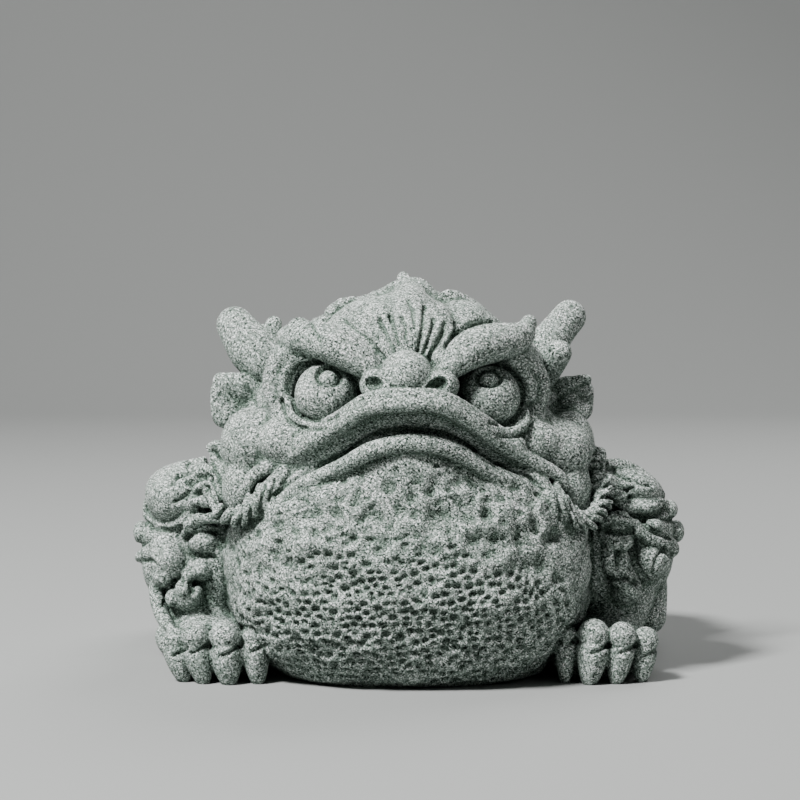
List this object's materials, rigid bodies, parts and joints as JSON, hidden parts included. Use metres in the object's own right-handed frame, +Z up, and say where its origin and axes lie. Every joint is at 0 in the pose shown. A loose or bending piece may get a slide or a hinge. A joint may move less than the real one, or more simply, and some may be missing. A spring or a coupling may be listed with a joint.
{
  "type": "money toad figure",
  "caption": "Squat seated toad with a dragon's horns, ears and mane and a rope in its mouth, a solid desk ornament that rests on its flat underside.",
  "frame": {"origin": "on the ground under the middle of the figure's box", "axes": "+Z up, the face looks along -Y, +X is on the right of someone who faces it"},
  "size_m": [0.121, 0.1012, 0.0859],
  "materials": {
    "green_sandstone": "dull, grainy sandstone paste, pale grey green"
  },
  "bodies": {
    "root": {"money_toad": "green_sandstone"}
  },
  "joints": []
}
